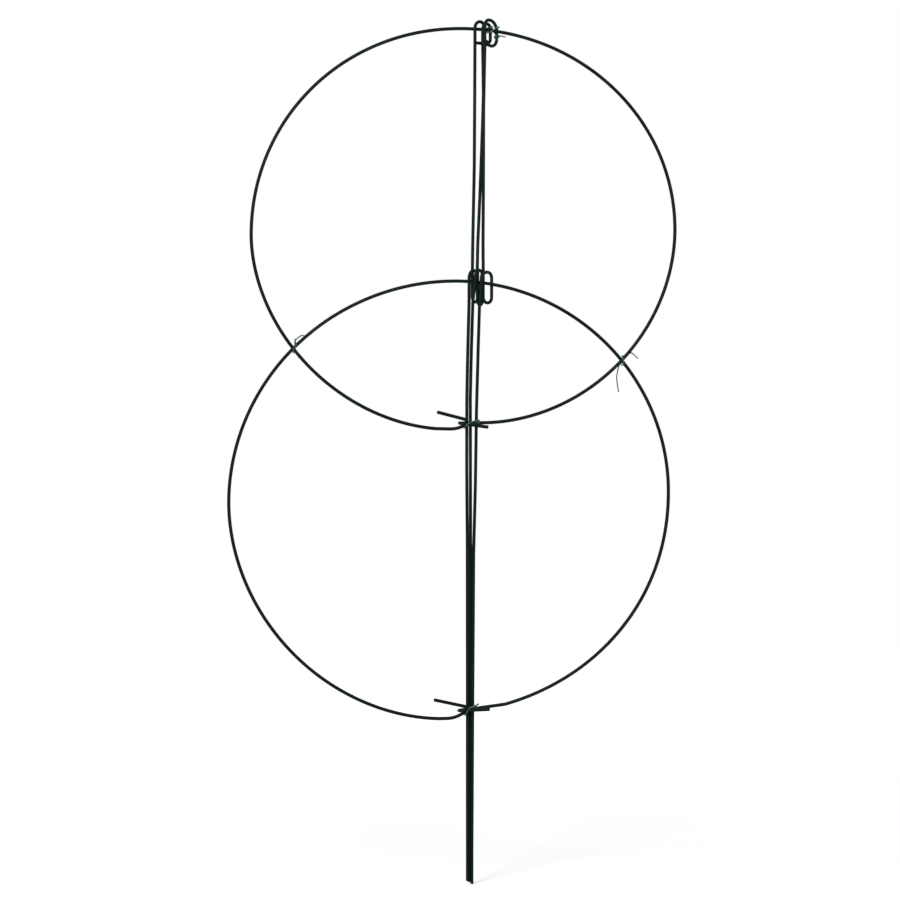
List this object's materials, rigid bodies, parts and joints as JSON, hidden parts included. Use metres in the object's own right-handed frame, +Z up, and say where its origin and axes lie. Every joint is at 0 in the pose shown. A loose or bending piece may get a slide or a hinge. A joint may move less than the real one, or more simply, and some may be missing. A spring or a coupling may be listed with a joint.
{
  "type": "plant support",
  "caption": "Folding wire plant support: open hoops threaded through eyes on upright legs, hooked closures and tie wires, shown folded flat with hoops that swing out to a right angle.",
  "frame": {"origin": "middle of the right leg's cut foot", "axes": "+Z up along the legs, +X to the right across the hoops as seen from the front, -Y to the front"},
  "size_m": [0.4749, 0.0258, 0.9147],
  "materials": {
    "leg_coat": "semi-gloss plastic coat, dark green",
    "ring_coat": "semi-gloss plastic coat, dark green",
    "tie_coat": "satin plastic coat, blue-green"
  },
  "bodies": {
    "legs": {"left_leg": "leg_coat", "middle_leg": "leg_coat", "right_leg": "leg_coat", "top_eye_tie": "tie_coat"},
    "upper_hoop": {"top_ring": "ring_coat", "left_crossing_tie": "tie_coat", "right_crossing_tie": "tie_coat", "top_closure_tie": "tie_coat"},
    "lower_hoop": {"lower_ring": "ring_coat", "lower_closure_tie": "tie_coat"}
  },
  "joints": [
    {"name": "upper_hoop_fold", "type": "hinge", "parent": "legs", "child": "upper_hoop", "pos_m": [0.01, 0.004, 0.90351], "axis": [-1, 0, 0], "range_deg": [0, 90]},
    {"name": "lower_hoop_fold", "type": "hinge", "parent": "legs", "child": "lower_hoop", "pos_m": [0.01, 0.004, 0.63568], "axis": [-1, 0, 0], "range_deg": [0, 90]}
  ],
  "couplings": [
    {"joint": "lower_hoop_fold", "follows": "upper_hoop_fold", "ratio": 1}
  ]
}
